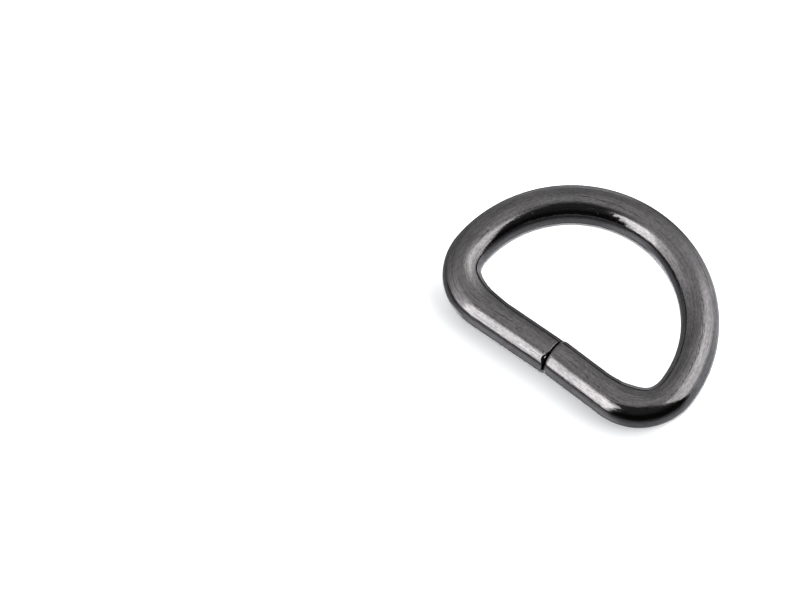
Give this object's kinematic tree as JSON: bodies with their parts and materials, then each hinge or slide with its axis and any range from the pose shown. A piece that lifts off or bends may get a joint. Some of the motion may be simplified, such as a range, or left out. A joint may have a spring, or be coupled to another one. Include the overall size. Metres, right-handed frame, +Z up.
{
  "type": "d ring",
  "caption": "D-shaped ring bent from one round wire, with a straight side closed by a butt joint and a round bow, for linking a strap to a hook or another fitting.",
  "frame": {"origin": "centre of the ring's outer box, on the surface that the ring lies on", "axes": "+X along the straight side, +Y from the straight side towards the bow, +Z up through the ring's thickness"},
  "size_m": [0.0266, 0.019, 0.0035],
  "materials": {
    "plated_wire": "dark gunmetal plating over drawn wire, half bright, with fine lines along the wire"
  },
  "bodies": {
    "root": {"wire_ring": "plated_wire"}
  },
  "joints": []
}
